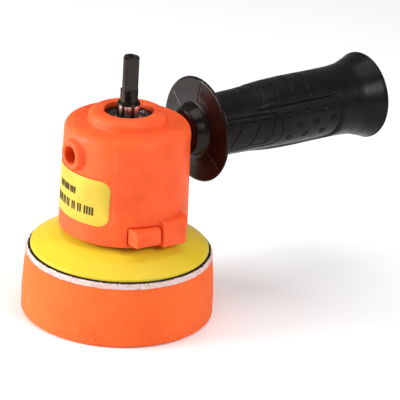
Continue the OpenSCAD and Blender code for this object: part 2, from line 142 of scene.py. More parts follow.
class Finish:
    """One node material under construction, with short ways to add textures to its shader."""

    def __init__(self, name, colour, roughness, metallic=0.0, **sockets):
        self.material = bpy.data.materials.new(name)
        self.material.use_nodes = True
        self.tree = self.material.node_tree
        self.shader = self.tree.nodes["Principled BSDF"]
        self.set("Base Color", (*colour, 1))
        self.set("Roughness", roughness)
        self.set("Metallic", metallic)
        for socket, value in sockets.items():
            self.set(socket.replace("_", " "), value)
        self.place = self.node("ShaderNodeTexCoord").outputs["Object"]
        self.point = self.node("ShaderNodeNewGeometry").outputs["Pointiness"]
        self.normal = None

    def set(self, socket, value):
        if isinstance(value, bpy.types.NodeSocket):
            self.tree.links.new(value, self.shader.inputs[socket])
        else:
            self.shader.inputs[socket].default_value = value

    def node(self, kind, inputs=(), **settings):
        made = self.tree.nodes.new(kind)
        for key, value in settings.items():
            setattr(made, key, value)
        for key, value in dict(inputs).items():
            if isinstance(value, bpy.types.NodeSocket):
                self.tree.links.new(value, made.inputs[key])
            else:
                made.inputs[key].default_value = value
        return made

    def stretched(self, scale):
        """The object coordinates scaled unevenly, for brushed or turned marks."""
        return self.node("ShaderNodeMapping", {"Vector": self.place, "Scale": scale}).outputs[0]

    def noise(self, scale, detail=3.0, rough=0.55, place=None):
        wanted = {"Vector": place or self.place, "Scale": scale, "Detail": detail, "Roughness": rough}
        return self.node("ShaderNodeTexNoise", wanted).outputs["Fac"]

    def cells(self, scale, feature="F1", place=None):
        wanted = {"Vector": place or self.place, "Scale": scale}
        return self.node("ShaderNodeTexVoronoi", wanted, feature=feature).outputs["Distance"]

    def ranged(self, value, low, high, to_low=0.0, to_high=1.0):
        wanted = {"Value": value, "From Min": low, "From Max": high, "To Min": to_low, "To Max": to_high}
        return self.node("ShaderNodeMapRange", wanted).outputs["Result"]

    def sums(self, operation, a, b):
        return self.node("ShaderNodeMath", {0: a, 1: b}, operation=operation).outputs[0]

    def mixed(self, factor, a, b):
        """Colour a where factor is 0 and b where it is 1; a colour is a socket or three numbers."""
        full = [c if isinstance(c, bpy.types.NodeSocket) else (*c, 1) for c in (a, b)]
        made = self.node("ShaderNodeMix", {0: factor, 6: full[0], 7: full[1]}, data_type="RGBA")
        return made.outputs[2]

    def edges(self, low, high):
        """1 on convex edges and 0 elsewhere."""
        return self.ranged(self.point, low, high)

    def bump(self, height, distance, strength=1.0):
        wanted = {"Height": height, "Distance": distance, "Strength": strength}
        if self.normal:
            wanted["Normal"] = self.normal
        self.normal = self.node("ShaderNodeBump", wanted).outputs[0]
        self.set("Normal", self.normal)


def moulded(name, colour, roughness, grain, **sockets):
    """Moulded plastic: cloudy colour, a spark-eroded grain, dull patches, paler rubbed edges and painted shade
    in the creases.
    """
    f = Finish(name, colour, roughness, **sockets)
    cloud = f.noise(60, 4)
    light = [min(1, c * 1.07 + 0.006) for c in colour]
    dark = [c * 0.88 for c in colour]
    tone = f.mixed(f.ranged(cloud, 0.35, 0.65), dark, light)
    rubbed = [min(1, c * 1.15 + 0.03) for c in colour]
    wear = f.sums("MULTIPLY", f.edges(0.53, 0.60), f.ranged(f.noise(420, 3), 0.4, 0.6))
    # Painted shade: concave creases and inner corners are darkened towards half the colour.
    painted_crease_shade = f.mixed(f.ranged(f.point, 0.44, 0.49, 0.45, 0.0), tone, [c * 0.5 for c in colour])
    f.set("Base Color", f.mixed(f.sums("MULTIPLY", wear, 0.5), painted_crease_shade, rubbed))
    smear = f.ranged(f.noise(160, 4), 0.3, 0.7, roughness - 0.05, roughness + 0.07)
    f.set("Roughness", smear)
    f.bump(f.noise(grain, 2, 0.6), 0.00005, 0.35)
    f.bump(f.noise(240, 2), 0.00012, 0.25)
    return f.material


def metal(name, colour, roughness, turned=(40, 40, 2600), marks=0.35, stain=0.0):
    """Machined metal: fine tool marks across one axis, cloudy roughness, darker stained patches."""
    f = Finish(name, colour, roughness, 1.0)
    lines = f.noise(1, 3, 0.6, place=f.stretched(turned))
    patch = f.noise(90, 4)
    dark = [c * 0.72 for c in colour]
    light = [min(1, c * 1.12) for c in colour]
    tone = f.mixed(f.ranged(lines, 0.3, 0.7), dark, light)
    brown = (0.10, 0.06, 0.035)
    amount = f.ranged(patch, 0.5, 0.72, 0.0, stain)
    tone = f.mixed(amount, tone, brown)
    bright = [min(1, c * 1.5 + 0.03) for c in colour]
    tone = f.mixed(f.sums("MULTIPLY", f.edges(0.54, 0.62), 0.7), tone, bright)
    f.set("Base Color", tone)
    f.set("Roughness", f.ranged(patch, 0.3, 0.7, roughness - 0.06, roughness + 0.10))
    f.bump(lines, 0.00002, marks)
    return f.material


def foam_finish():
    """Open-cell foam: painted shade in the pores and painted highlights on the cell walls, with a slight change
    of tone over the block.
    """
    f = Finish("orange_foam", (0.90, 0.12, 0.030), 0.95, Subsurface_Weight=0.12, Sheen_Weight=0.05)
    f.set("Subsurface Radius", (0.004, 0.0012, 0.0006))
    f.set("Specular IOR Level", 0.15)
    pores = f.cells(1050)
    fine = f.cells(2300)
    cloud = f.noise(45, 4)
    tone = f.mixed(f.ranged(cloud, 0.3, 0.7), (0.84, 0.120, 0.024), (0.92, 0.150, 0.032))
    # Painted shade: the colour darkens inside the pores.
    tone = f.mixed(f.ranged(pores, 0.42, 0.12, 0.0, 0.42), tone, (0.50, 0.045, 0.012))
    # Painted highlight: paler specks stand for lit cell walls.
    tone = f.mixed(f.ranged(f.noise(1500, 2), 0.58, 0.74, 0.0, 0.3), tone, (0.98, 0.24, 0.07))
    f.set("Base Color", tone)
    f.bump(pores, 0.0003, 0.45)
    f.bump(fine, 0.0001, 0.3)
    return f.material


def plate_finish():
    """Cast polyurethane: waxy yellow, faint flow marks, dusty patches spread at random."""
    f = Finish("yellow_polyurethane", (0.92, 0.58, 0.030), 0.46, Subsurface_Weight=0.12,
               Specular_IOR_Level=0.3)
    f.set("Subsurface Radius", (0.004, 0.0025, 0.0005))
    cloud = f.noise(38, 5)
    tone = f.mixed(f.ranged(cloud, 0.3, 0.7), (0.67, 0.485, 0.020), (0.72, 0.54, 0.028))
    dust = f.ranged(f.noise(700, 4), 0.58, 0.75, 0.0, 0.25)
    f.set("Base Color", f.mixed(dust, tone, (0.80, 0.58, 0.13)))
    f.set("Roughness", f.ranged(f.noise(130, 3), 0.3, 0.7, 0.36, 0.5))
    f.bump(f.noise(900, 2), 0.00004, 0.3)
    f.bump(f.noise(70, 2), 0.0003, 0.15)
    return f.material


def fibre_finish(name, dark, light, speck, speck_share):
    """Brushed or hooked cloth: mottled fibres, with specks of the other cloth caught in it."""
    f = Finish(name, light, 0.9, Sheen_Weight=0.05)
    f.set("Specular IOR Level", 0.1)
    weave = f.noise(1900, 3, 0.7)
    tone = f.mixed(f.ranged(weave, 0.35, 0.65), dark, light)
    caught = f.ranged(f.cells(760), 0.34, 0.2, 0.0, speck_share)
    broken = f.sums("MULTIPLY", caught, f.ranged(f.noise(210, 2), 0.45, 0.6))
    f.set("Base Color", f.mixed(broken, tone, speck))
    f.bump(weave, 0.0004, 0.8)
    return f.material


def rubber_finish(name, colour, roughness):
    """Moulded rubber or soft sleeve: near black, satin, finely pebbled, greyer where hands rub it."""
    f = Finish(name, colour, roughness)
    f.set("Specular IOR Level", 0.13)
    cloud = f.noise(75, 4)
    grey = [c * 1.5 + 0.001 for c in colour]
    tone = f.mixed(f.ranged(cloud, 0.35, 0.7), colour, grey)
    worn = f.sums("MULTIPLY", f.edges(0.52, 0.60), 0.6)
    f.set("Base Color", f.mixed(worn, tone, [c * 2.4 + 0.008 for c in colour]))
    f.set("Roughness", f.ranged(f.noise(190, 3), 0.3, 0.7, roughness - 0.07, roughness + 0.08))
    f.bump(f.noise(2600, 2, 0.6), 0.00005, 0.45)
    return f.material


def gloss_finish():
    """Dark brown-black gloss plastic of the guard, with swirl marks and a faint orange-peel."""
    f = Finish("dark_gloss_plastic", (0.004, 0.003, 0.003), 0.16, Specular_IOR_Level=0.24)
    f.set("Specular Tint", (1.0, 0.84, 0.78, 1))
    cloud = f.noise(80, 4)
    tone = f.mixed(f.ranged(cloud, 0.3, 0.7), (0.003, 0.0024, 0.0022), (0.007, 0.005, 0.0045))
    f.set("Base Color", f.mixed(f.sums("MULTIPLY", f.edges(0.52, 0.6), 0.5), tone, (0.03, 0.022, 0.02)))
    f.set("Roughness", f.ranged(f.noise(260, 4), 0.35, 0.7, 0.15, 0.27))
    f.bump(f.noise(210, 2), 0.00012, 0.18)
    f.bump(f.noise(2600, 2), 0.00002, 0.2)
    return f.material


FINISHES = {
    "orange_plastic": moulded("orange_plastic", (0.89, 0.100, 0.018), 0.52, 3400, Subsurface_Weight=0.02,
                              Specular_IOR_Level=0.22),
    "yellow_label": moulded("yellow_label", (0.62, 0.44, 0.040), 0.42, 1500, Specular_IOR_Level=0.25),
    "zinc_steel": metal("zinc_steel", (0.62, 0.62, 0.60), 0.30, stain=0.15),
    "dark_gloss_plastic": gloss_finish(),
    "black_rubber": rubber_finish("black_rubber", (0.0042, 0.0034, 0.0031), 0.31),
    "black_oxide_steel": metal("black_oxide_steel", (0.017, 0.013, 0.011), 0.34, (60, 60, 3400), 0.5, 0.3),
    "seal_rubber": rubber_finish("seal_rubber", (0.020, 0.018, 0.017), 0.5),
    "turned_steel": metal("turned_steel", (0.46, 0.46, 0.45), 0.28, (40, 40, 3000), 0.6, 0.2),
    "bearing_steel": metal("bearing_steel", (0.72, 0.72, 0.71), 0.16, (50, 50, 1800), 0.2),
    "cage_nylon": moulded("cage_nylon", (0.66, 0.56, 0.36), 0.5, 2200),
    "yellow_polyurethane": plate_finish(),
    "black_hook": fibre_finish("black_hook", (0.010, 0.006, 0.004), (0.040, 0.022, 0.014),
                               (0.35, 0.3, 0.28), 0.2),
    "pale_loop": fibre_finish("pale_loop", (0.76, 0.58, 0.55), (0.88, 0.74, 0.71),
                              (0.20, 0.13, 0.11), 0.15),
    "orange_foam": foam_finish(),
}
PRINT_INK = rubber_finish("print_ink", (0.016, 0.010, 0.008), 0.5)


def sleeve_finish():
    """Ground steel, near black along its top edge, with upright streaks of painted reflection down its polished
    side.
    """
    f = Finish("sleeve_steel", (0.5, 0.4, 0.36), 0.3, 1.0)
    # Painted reflection: upright pale and dark bands stand for the studio reflected in the polished steel.
    painted_reflection_streaks = f.noise(1, 2, 0.5, place=f.stretched((210, 210, 8)))
    tone = f.mixed(f.ranged(painted_reflection_streaks, 0.44, 0.60), (0.045, 0.028, 0.022), (0.92, 0.78, 0.72))
    height = f.node("ShaderNodeSeparateXYZ", {0: f.place}).outputs["Z"]
    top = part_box("shaft_sleeve")[1].z
    # The colour goes near black in the top 1.5 mm of the sleeve, by height.
    f.set("Base Color", f.mixed(f.ranged(height, top - 1.7 * MM, top - 1.3 * MM), tone, (0.02, 0.015, 0.012)))
    f.bump(f.noise(1, 2, 0.5, place=f.stretched((50, 50, 2600))), 0.00001, 0.3)
    return f.material


SLEEVE_STEEL = sleeve_finish()


# ------------------------------------------------------------------ shape helpers

def rounded(corners, steps=6):
    """A polyline of (a, b, fillet) with an arc of that radius at each inner corner."""
    points = [Vector(corners[0][:2])]
    for before, here, after in zip(corners, corners[1:], corners[2:]):
        at, size = Vector(here[:2]), here[2]
        back, ahead = (Vector(before[:2]) - at).normalized(), (Vector(after[:2]) - at).normalized()
        opening = back.angle(ahead)
        if size <= 0 or math.pi - opening < 0.01:
            points.append(at)
            continue
        reach = size / math.tan(opening / 2)
        centre = at + (back + ahead).normalized() * size / math.sin(opening / 2)
        start, end = at + back * reach - centre, at + ahead * reach - centre
        sweep = start.angle_signed(end)
        for i in range(steps + 1):
            points.append(centre + Matrix.Rotation(-sweep * i / steps, 2) @ start)
    points.append(Vector(corners[-1][:2]))
    return points


def divided(points, step):
    """The same polyline with no two points further apart than step."""
    out = [Vector(points[0])]
    for a, b in zip(points, points[1:]):
        a, b = Vector(a), Vector(b)
        count = max(1, math.ceil((b - a).length / step))
        out += [a.lerp(b, i / count) for i in range(1, count + 1)]
    return out


def finish_piece(name, mesh, body, slot, material=None, smooth=True):
    """Puts a finished mesh in the scene as a piece that rides on a body."""
    bm = bmesh.new()
    bm.from_mesh(mesh)
    bmesh.ops.recalc_face_normals(bm, faces=bm.faces)
    bm.to_mesh(mesh)
    bm.free()
    mesh.polygons.foreach_set("use_smooth", [smooth] * len(mesh.polygons))
    mesh.materials.clear()
    mesh.materials.append(material or FINISHES[slot])
    piece = bpy.data.objects.new(name, mesh)
    bpy.context.scene.collection.objects.link(piece)
    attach(piece, body)
    return piece


def mesh_from(name, points, faces):
    mesh = bpy.data.meshes.new(name)
    mesh.from_pydata(np.asarray(points).tolist(), [], faces)
    return mesh


def turned(name, outline, around, body, slot, along_x=False, centre=(0, 0), shape=None, closed=False):
    """A body of revolution. outline is (radius, distance along the axis) in metres, from pole to pole,
    or round a ring if closed. shape(radius, along, angle) may push the points about."""
    line = np.array([tuple(p) for p in outline])
    if not closed:
        line = line[1:-1]
    angle = np.arange(around) * TAU / around
    radius, angle = np.meshgrid(line[:, 0], angle, indexing="ij")
    along = np.repeat(line[:, 1:2], around, axis=1)
    if shape:
        radius, along = shape(radius, along, angle)
    rows = len(line)

    def placed(r, t, a):
        if along_x:
            return np.stack([t, centre[0] - r * np.sin(a), centre[1] + r * np.cos(a)], -1)
        return np.stack([centre[0] + r * np.cos(a), centre[1] + r * np.sin(a), t], -1)

    points = placed(radius, along, angle).reshape(-1, 3)
    index = np.arange(rows * around).reshape(rows, around)
    ahead = np.roll(index, -1, axis=1)
    below = np.roll(index, -1, axis=0) if closed else index[1:]
    below_ahead = np.roll(below, -1, axis=1)
    upper = index if closed else index[:-1]
    upper_ahead = ahead if closed else ahead[:-1]
    faces = np.stack([upper, upper_ahead, below_ahead, below], -1).reshape(-1, 4).tolist()
    if not closed:
        poles = placed(np.zeros(2), np.array([outline[0][1], outline[-1][1]]), np.zeros(2))
        points = np.vstack([points, poles])
        first, last = rows * around, rows * around + 1
        faces += [(first, i, (i + 1) % around) for i in range(around)]
        base = (rows - 1) * around
        faces += [(last, base + (i + 1) % around, base + i) for i in range(around)]
    return finish_piece(name, mesh_from(name, points, faces), body, slot)


def tufts(name, roots, leans, thickness, body, slot):
    """Many short tapered fibres in one mesh. Each follows its root, then its list of steps."""
    sides = 3
    points, faces = [], []
    for root, steps in zip(roots, leans):
        line = [Vector(root)]
        for step in steps:
            line.append(line[-1] + Vector(step))
        along = (line[-1] - line[0]).normalized()
        across = along.orthogonal().normalized()
        other = along.cross(across)
        base = len(points)
        for k, p in enumerate(line):
            size = thickness * (1 - 0.55 * k / (len(line) - 1))
            for s in range(sides):
                turn = TAU * s / sides
                points.append(p + size * (math.cos(turn) * across + math.sin(turn) * other))
        for k in range(len(line) - 1):
            for s in range(sides):
                a, b = base + k * sides + s, base + k * sides + (s + 1) % sides
                faces.append((a, b, b + sides, a + sides))
        top = base + (len(line) - 1) * sides
        faces.append(tuple(range(base, base + sides))[::-1])
        faces.append(tuple(range(top, top + sides)))
    return finish_piece(name, mesh_from(name, points, faces), body, slot, smooth=False)


def beyond(across, up):
    """Signed distance past a rectangle's sides, from the distances past each pair of them."""
    return np.hypot(np.maximum(across, 0), np.maximum(up, 0)) + np.minimum(np.maximum(across, up), 0)


def softened(name, node, voxel, passes, body, slot, weight=None, last=None):
    """A CAD node's shape with moulded, rounded edges: remeshed evenly, then its points are averaged.
    weight(points, turn) says how far each point goes, and last(points) may push them about at the end."""
    source = NODES[node]
    weld = source.modifiers.new("weld", "WELD")
    weld.merge_threshold = 1e-6
    grid = source.modifiers.new("grid", "REMESH")
    grid.mode = "VOXEL"
    grid.voxel_size = voxel
    evaluated = source.evaluated_get(bpy.context.evaluated_depsgraph_get())
    mesh = bpy.data.meshes.new_from_object(evaluated)
    source.modifiers.clear()
    count = len(mesh.vertices)
    points = np.empty(count * 3)
    mesh.vertices.foreach_get("co", points)
    points = points.reshape(-1, 3)
    edges = np.empty(len(mesh.edges) * 2, int)
    mesh.edges.foreach_get("vertices", edges)
    a, b = edges[0::2], edges[1::2]
    shared = np.bincount(a, minlength=count) + np.bincount(b, minlength=count)
    for i in range(passes):
        mean = np.stack([
            np.bincount(a, points[b, k], count) + np.bincount(b, points[a, k], count) for k in range(3)
        ], 1) / shared[:, None]
        pull = 0.5 if weight is None else 0.5 * weight(points, i)[:, None]
        points = points + pull * (mean - points)
    if last:
        points = last(points)
    mesh.vertices.foreach_set("co", points.ravel())
    mesh.update()
    piece = finish_piece(name, mesh, body, slot)
    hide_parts(node)
    return piece


# ------------------------------------------------------------------ housing and lock button

SOFT_PASSES = 3
BOSS_PASSES = 4
HOUSING_VOXEL = 0.45 * MM
WALL_R = 34.4 * MM
BOSS_R = 9.2 * MM
BOSS_DRAWN = 0.9
COLLAR_R = 21.3 * MM
MOULD_LINE_AT = math.radians(-95)
LABEL_HALF = (22.8 * MM, 12.7 * MM)
LABEL_CORNER = 5 * MM
LABEL_Z = 71.9 * MM


def boss_blend(points, turn):
    """Every point is averaged a few times, and those where the handle bosses leave the wall once more."""
    if turn < SOFT_PASSES:
        return np.ones(len(points))
    wall = np.hypot(points[:, 0], points[:, 1])
    boss = np.hypot(points[:, 1], points[:, 2] - HANDLE_Z)
    near = np.abs(wall - WALL_R) < 0.7 * MM
    ring = np.abs(boss - BOSS_R) < 0.7 * MM
    return (near & ring).astype(float)


def wall_details(points):
    """The open boss drawn in to its moulded size, and the narrow gap round the label in its recess."""
    wall = np.hypot(points[:, 0], points[:, 1])
    boss = np.hypot(points[:, 1], points[:, 2] - HANDLE_Z)
    edge = BOSS_R + 0.3 * MM
    drawn = np.interp(boss, [0, edge, 14 * MM], [BOSS_DRAWN, BOSS_DRAWN, 1.0]) - 1
    drawn = drawn * np.interp(-points[:, 0], [24 * MM, 28 * MM], [0, 1])
    y, z = points[:, 1] * (1 + drawn), HANDLE_Z + (points[:, 2] - HANDLE_Z) * (1 + drawn)
    on_wall = (boss > edge) & (points[:, 0] < 0)
    x = np.where(on_wall, -np.sqrt(np.maximum(wall ** 2 - y ** 2, 0)), points[:, 0])
    points = np.stack([x, y, z], 1)
    wall = np.hypot(points[:, 0], points[:, 1])
    turn = np.arctan2(points[:, 1], -points[:, 0])
    across = np.abs(turn * wall) - LABEL_HALF[0] + LABEL_CORNER
    up = np.abs(points[:, 2] - LABEL_Z) - LABEL_HALF[1] + LABEL_CORNER
    away = beyond(across, up) - LABEL_CORNER
    depth = 0.4 * MM * np.exp(-(away / (0.45 * MM)) ** 2) * ((points[:, 0] < 0) & (wall > 0.033))
    return points * np.stack([1 - depth / wall, 1 - depth / wall, np.ones(len(points))], 1)


softened("housing_body", "housing_shell", HOUSING_VOXEL, BOSS_PASSES, "housing", "orange_plastic",
         boss_blend, wall_details)
softened("lock_button_block", "lock_button", 0.3 * MM, 5, "lock", "orange_plastic")


def add_mould_line():
    """The thin flash that the mould leaves down the collar, over the lock button."""
    top, shoulder, wide, tall = COLLAR_TOP, 4 * MM, 0.16 * MM, 0.10 * MM
    middle_r = COLLAR_R - 4.3 * MM
    path = [(middle_r + shoulder * math.sin(t), top - shoulder + shoulder * math.cos(t))
            for t in np.linspace(0.1, 1.43, 12)]
    path += [(path[-1][0] + 0.1 * MM, z) for z in np.linspace(path[-1][1] - 0.4 * MM, top - 5.4 * MM, 5)]
    out = Vector((math.cos(MOULD_LINE_AT), math.sin(MOULD_LINE_AT), 0))
    side = Vector((-out.y, out.x, 0))
    points, faces = [], []
    for k, (r, z) in enumerate(path):
        before, after = path[max(k - 1, 0)], path[min(k + 1, len(path) - 1)]
        along = (out * (after[0] - before[0]) + Vector((0, 0, after[1] - before[1]))).normalized()
        proud = side.cross(along).normalized()
        if proud.dot(out + Vector((0, 0, 1))) < 0:
            proud.negate()
        here = out * r + Vector((0, 0, z))
        points += [here - side * wide - proud * tall, here + proud * tall,
                   here + side * wide - proud * tall]
    for k in range(len(path) - 1):
        for i in range(3):
            j = (i + 1) % 3
            faces.append((3 * k + i, 3 * k + j, 3 * k + 3 + j, 3 * k + 3 + i))
    last = 3 * (len(path) - 1)
    faces += [(2, 1, 0), (last, last + 1, last + 2)]
    finish_piece("mould_line", mesh_from("mould_line", points, faces), "housing", "orange_plastic")


add_mould_line()


# ------------------------------------------------------------------ label

LABEL_SLAB = 0.00006


def label_point(side, height, proud):
    """A point on the label: side runs round the wall, seen from outside, and height runs up it."""
    low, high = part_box("rating_label")
    top_r, foot_r = -low.x - 0.00012, -low.x
    share = (height - low.z) / (high.z - low.z)
    radius = foot_r + (top_r - foot_r) * share + proud
    angle = math.pi + side / foot_r
    return Vector((radius * math.cos(angle), radius * math.sin(angle), height))


def add_print():
    """Plain bars where the label is printed: two rows, with no letters. Lengths here are millimetres."""
    label_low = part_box("rating_label")[0].z
    stroke, pitch = 0.9, 1.65
    rows = [
        (14.4, 3.6, [(-11.8, 3), (-6.2, 3), (-0.6, 3)]),
        (5.5, 4.6, [(-15.3, 2), (-11.4, 2), (-7.5, 2), (-3.6, 2), (1.2, 2), (5.8, 2), (10.4, 4)]),
    ]
    points, faces = [], []
    for rise, tall, groups in rows:
        for left in [start + pitch * k for start, count in groups for k in range(count)]:
            columns = 2
            corner = len(points)
            for proud in (0.0, LABEL_SLAB):
                for i in range(columns + 1):
                    for up in (rise, rise + tall):
                        side = (left + stroke * i / columns) * MM
                        points.append(label_point(side, label_low + up * MM, 0.00002 + proud))
            layer = 2 * (columns + 1)
            for i in range(columns):
                a = corner + 2 * i
                faces.append((a, a + 1, a + 3, a + 2))
                faces.append((a + layer, a + layer + 2, a + layer + 3, a + layer + 1))
                faces.append((a, a + 2, a + 2 + layer, a + layer))
                faces.append((a + 1, a + 1 + layer, a + 3 + layer, a + 3))
            for a in (corner, corner + 2 * columns):
                faces.append((a, a + layer, a + layer + 1, a + 1))
    finish_piece("label_print", mesh_from("label_print", points, faces), "housing", "yellow_label",
                 PRINT_INK, smooth=False)


add_print()


# ------------------------------------------------------------------ pad, cloths and plate

def pore_shape(radius, along, angle):
    """Open-cell foam: pits where cells are cut open, in a slightly uneven face."""
    x, y = radius * np.cos(angle), radius * np.sin(angle)
    flat = zip(x.ravel(), y.ravel(), along.ravel())
    depth = []
    for p in flat:
        spot = Vector(p) / (1.15 * MM)
        nearest = noise.voronoi(spot)[0][0]
        patchy = max(0.0, 0.25 + noise.noise(spot * 0.11))
        pit = max(0.0, 0.45 - nearest)
        depth.append(2.3 * pit * patchy + 0.08 * noise.noise(spot * 0.22) + 0.04 * noise.noise(spot * 1.7))
    depth = np.array(depth).reshape(radius.shape) * MM
    side = np.clip((radius - 0.9 * FOAM_R) / (0.1 * FOAM_R), 0, 1)
    pushed_r = radius - (depth + 0.05 * MM) * side
    face = (along < 0.3 * MM) & (radius < 0.97 * FOAM_R)
    return pushed_r, along + np.where(face, np.abs(depth), 0.0)


def add_foam():
    corners = [(0, 0, 0), (FOAM_R - 0.1 * MM, 0, 1.6 * MM), (FOAM_R - 0.1 * MM, FOAM_TOP / 3, 0),
               (FOAM_R - 0.7 * MM, 2 * FOAM_TOP / 3, 0), (LOOP_R + 0.1 * MM, FOAM_TOP, 0.5 * MM),
               (0, FOAM_TOP, 0)]
    line = rounded(corners, 5)
    side = [p for p in line if p.x > 0.9 * FOAM_R]
    fine = divided(side, 0.5 * MM)
    under = [Vector((r, 0)) for r in np.linspace(0, side[0].x, 60)][:-1]
    over = [Vector((r, FOAM_TOP)) for r in np.linspace(side[-1].x, 0, 14)][1:]
    pad = turned("foam_block", under + fine + over, 640, "pad", "orange_foam", centre=(PAD_X, PAD_Y),
                 shape=pore_shape)
    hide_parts("foam_pad")


def add_cloth(name, node, corners, slot, ripple, step, closed=False):
    """A thin round sheet whose rim is a little ragged."""
    start = 0.95 * max(radius for radius, _, _ in corners)

    def ragged(radius, along, angle):
        rim = np.clip((radius - start) / (0.05 * start), 0, 1)
        wave = [noise.noise(Vector((30 * math.cos(a), 30 * math.sin(a), z / MM)))
                for a, z in zip(angle.ravel(), along.ravel())]
        return radius + rim * ripple * (np.array(wave).reshape(radius.shape) - 0.3), along

    line = divided(rounded(corners, 4), step)
    sheet = turned(name, line, 480, "pad", slot, centre=(PAD_X, PAD_Y), shape=ragged, closed=closed)
    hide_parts(node)


def rim_fibres(name, count, low_z, high_z, radius, length, thickness, droop, seed, slot):
    """Short fibres that stand out of a sheet's rim."""
    draw = random.Random(seed)
    roots, leans = [], []
    for _ in range(count):
        turn = draw.uniform(0, TAU)
        out = Vector((math.cos(turn), math.sin(turn), 0))
        side = Vector((-out.y, out.x, 0))
        z = draw.uniform(low_z, high_z)
        root = Vector((PAD_X, PAD_Y, z)) + out * (radius - 0.25 * MM)
        reach = length * draw.uniform(0.5, 1.1)
        bend = draw.uniform(-0.7, 0.7)
        lift = draw.uniform(-0.6, 0.6)
        roots.append(root)
        leans.append([
            out * reach * 0.45 + side * bend * reach * 0.15,
            out * reach * 0.35 + side * bend * reach * 0.3 + Vector((0, 0, lift * reach * 0.25)),
            side * bend * reach * 0.3 + Vector((0, 0, (lift - droop) * reach * 0.3)) + out * reach * 0.1,
        ])
    tufts(name, roots, leans, thickness, "pad", slot)


def add_plate():
    """Cast plate: a thin upright rim, then a crowned cone up to the flat hub."""
    z = HOOK_TOP
    top = PLATE_TOP
    corners = [
        (PLATE_HOLE, z, 0), (PLATE_R, z, 0.0004), (PLATE_R, z + 1.7 * MM, 0.0009),
        (0.044, z + 3.6 * MM, 0.004), (0.038, z + 6.6 * MM, 0.012),
        (0.033, z + 8.6 * MM, 0.012), (0.028, z + 10 * MM, 0.012),
        (0.022, z + 10.9 * MM, 0.01), (0.015, top, 0.01), (0.0132, top, 0.0003),
        (0.0130, top - 4.9 * MM, 0.0), (PLATE_HOLE, top - 5 * MM, 0.0),
    ]
    line = divided(rounded(corners, 5), 0.9 * MM)

    def cast(radius, along, angle):
        spots = zip((radius * np.cos(angle)).ravel(), (radius * np.sin(angle)).ravel(), along.ravel())
        swell = np.array([noise.noise(Vector(p) * 70) for p in spots]).reshape(radius.shape)
        upper = along > z + 0.3 * MM
        return radius, along - np.where(upper & (radius > 0.016), 0.09 * MM * (swell + 1) * 0.5, 0)

    plate = turned("plate_casting", line, 360, "pad", "yellow_polyurethane", centre=(PAD_X, PAD_Y),
                   shape=cast, closed=True)
    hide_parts("backing_plate")


# The loop cloth's pile swells a little round the rim of the hook sheet
EDGE = 0.3 * MM
SWELL = 0.4 * MM
LOOP_CORNERS = [
    (0, FOAM_TOP, 0), (LOOP_R, FOAM_TOP, EDGE), (LOOP_R - 0.5 * MM, LOOP_TOP + SWELL, 2 * EDGE),
    (HOOK_R + 0.1 * MM, LOOP_TOP + SWELL, 0.5 * EDGE), (HOOK_R - 0.1 * MM, LOOP_TOP, 0), (0, LOOP_TOP, 0),
]
HOOK_CORNERS = [
    (PLATE_HOLE, LOOP_TOP, 0), (HOOK_R, LOOP_TOP, EDGE), (HOOK_R, HOOK_TOP, EDGE), (PLATE_HOLE, HOOK_TOP, 0),
]
add_foam()
add_cloth("loop_sheet", "loop_cloth", LOOP_CORNERS, "pale_loop", 0.5 * MM, 0.5 * MM)
add_cloth("hook_disc", "hook_sheet", HOOK_CORNERS, "black_hook", 0.4 * MM, 1.2 * MM, closed=True)
add_plate()
rim_fibres("loop_nap", 5200, FOAM_TOP + 0.2 * MM, LOOP_TOP, LOOP_R - 0.4 * MM, 1.1 * MM, 0.06 * MM, 0.3,
           seed=11, slot="pale_loop")
rim_fibres("hook_bristles", 4200, LOOP_TOP + 0.3 * MM, HOOK_TOP - 0.1 * MM, HOOK_R, 1.5 * MM, 0.08 * MM, 0.9,
           seed=23, slot="black_hook")


# ------------------------------------------------------------------ side handle

GUARD_PANELS = 6
GUARD_TURN = math.radians(6)
NECK_R = 15.2 * MM


def guard_shape(radius, along, angle):
    """Six very shallow panels meet at creases on the guard's front face."""
    front = (along < NECK_START + 9.2 * MM) & (radius > NECK_R)
    step = TAU / GUARD_PANELS
    local = (angle - GUARD_TURN + step / 2) % step - step / 2
    within = (angle - GUARD_TURN) % step - step / 2
    reach = np.clip((radius - NECK_R) / (GUARD_R - NECK_R - 2 * MM), 0, 1)
    tilt = 0.045 * radius * (np.cos(within) - 0.955) * reach
    crease = np.exp(-(local * radius / (0.30 * MM)) ** 2) * 0.22 * MM
    near = np.clip((radius - NECK_R - 0.3 * MM) / (0.8 * MM), 0, 1)
    far = np.clip((GUARD_R - 1.1 * MM - radius) / (1.2 * MM), 0, 1)
    return radius, along + np.where(front, tilt + crease * near * far, 0)


def add_guard():
    """Neck, dished guard and the tube that runs on inside the sleeve, in one gloss piece."""
    x = NECK_START
    corners = [
        (0.0, x, 0), (0.0050, x, 0.0002), (0.0114, x, 0.0006), (0.0126, x + 0.9 * MM, 0.001),
        (0.0142, x + 5.5 * MM, 0.0015), (NECK_R, x + 6.9 * MM, 0.0008), (0.020, x + 7.7 * MM, 0.004),
        (GUARD_R - 1 * MM, x + 8.3 * MM, 0.001), (GUARD_R, x + 9.0 * MM, 0.0005),
        (GUARD_R, x + 9.6 * MM, 0.0005), (GUARD_R - 1 * MM, x + 10.3 * MM, 0.001),
        (0.020, x + 10.1 * MM, 0.003), (0.0125, x + 10.7 * MM, 0.001),
        (0.012, x + 13 * MM, 0.0), (0.012, TUBE_END, 0.0), (0.0, TUBE_END, 0),
    ]
    guard = turned("handle_guard", divided(rounded(corners, 6), 0.55 * MM), 540, "housing",
                   "dark_gloss_plastic", along_x=True, centre=(0, HANDLE_Z), shape=guard_shape)
    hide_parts("hand_guard", "handle_tube")


